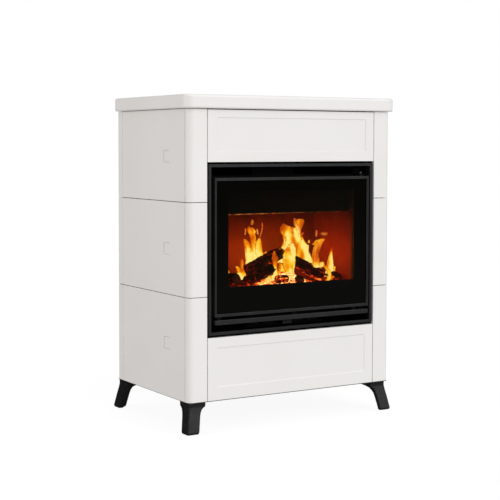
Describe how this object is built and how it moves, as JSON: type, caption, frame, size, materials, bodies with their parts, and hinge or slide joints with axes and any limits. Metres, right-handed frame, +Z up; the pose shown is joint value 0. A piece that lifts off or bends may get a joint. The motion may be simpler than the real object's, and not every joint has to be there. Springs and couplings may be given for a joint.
{
  "type": "tiled wood stove",
  "caption": "Free-standing wood stove clad in white glazed tiles, with a black hearth insert, side-hinged glass door, sliding air control and splayed cast feet.",
  "frame": {"origin": "middle of the overall footprint, on the floor", "axes": "+X to the right seen from the front, -Y out of the glass door, +Z up"},
  "size_m": [0.84, 0.576, 1.104],
  "materials": {
    "white_glaze": "smooth satin-white glaze",
    "black_satin_steel": "satin black stove paint",
    "carcass_steel": "dark grey powder coat",
    "zinc_steel": "bright zinc-plated",
    "cast_iron_black": "fine cast, black painted",
    "stove_glass": "ceramic glass with a printed black border",
    "firebox_steel": "heat-stained black steel",
    "vermiculite": "vermiculite board, warm brown, sooted",
    "glass_rope": "woven glass-fibre rope",
    "silicone": "matt",
    "charred_wood": "charred bark",
    "embers": "glowing embers and ash"
  },
  "bodies": {
    "stove": {"air_box": "firebox_steel", "air_duct": "carcass_steel", "ash_pan": "firebox_steel", "baffle_lower": "vermiculite", "baffle_upper": "vermiculite", "base_plate": "carcass_steel", "corner_tile_left_lower": "white_glaze", "corner_tile_left_middle": "white_glaze", "corner_tile_left_upper": "white_glaze", "corner_tile_right_lower": "white_glaze", "corner_tile_right_middle": "white_glaze", "corner_tile_right_upper": "white_glaze", "ember_bed": "embers", "feet": "cast_iron_black", "firebox_shell": "firebox_steel", "flue_box": "carcass_steel", "flue_collar": "carcass_steel", "foot_bolts": "zinc_steel", "front_panel_brackets": "zinc_steel", "front_panel_lower": "white_glaze", "front_panel_upper": "white_glaze", "grate": "cast_iron_black", "hearth_bricks": "vermiculite", "hinge_brackets": "black_satin_steel", "insert_casing": "black_satin_steel", "insert_shelf": "carcass_steel", "latch_clip": "zinc_steel", "lining_left": "vermiculite", "lining_rear": "vermiculite", "lining_right": "vermiculite", "logs": "charred_wood", "rear_corner_tiles": "white_glaze", "rear_panel": "carcass_steel", "rear_panel_screws": "zinc_steel", "side_frame_left": "carcass_steel", "side_frame_right": "carcass_steel", "side_tile_left_lower": "white_glaze", "side_tile_left_middle": "white_glaze", "side_tile_left_upper": "white_glaze", "side_tile_right_lower": "white_glaze", "side_tile_right_middle": "white_glaze", "side_tile_right_upper": "white_glaze", "slab_pads": "silicone", "smoke_deflector": "firebox_steel", "tile_clips": "zinc_steel", "top_plate": "carcass_steel", "top_slab": "white_glaze", "trim_frame": "black_satin_steel"},
    "door": {"door_frame": "black_satin_steel", "door_glass": "stove_glass", "glass_tape": "glass_rope", "glass_clamps": "black_satin_steel", "door_inner_frame": "black_satin_steel", "door_rope": "glass_rope", "handle_bar": "black_satin_steel", "hinge_pins": "zinc_steel", "latch_tongue": "zinc_steel"},
    "air_control": {"air_slide": "zinc_steel", "air_knob": "black_satin_steel"}
  },
  "joints": [
    {"name": "door_hinge", "type": "hinge", "parent": "stove", "child": "door", "pos_m": [0.288, -0.261, 0.6], "axis": [0, 0, 1], "range_deg": [0, 100]},
    {"name": "air_slide", "type": "slide", "parent": "stove", "child": "air_control", "axis": [1, 0, 0], "range_m": [-0.035, 0.035]}
  ]
}
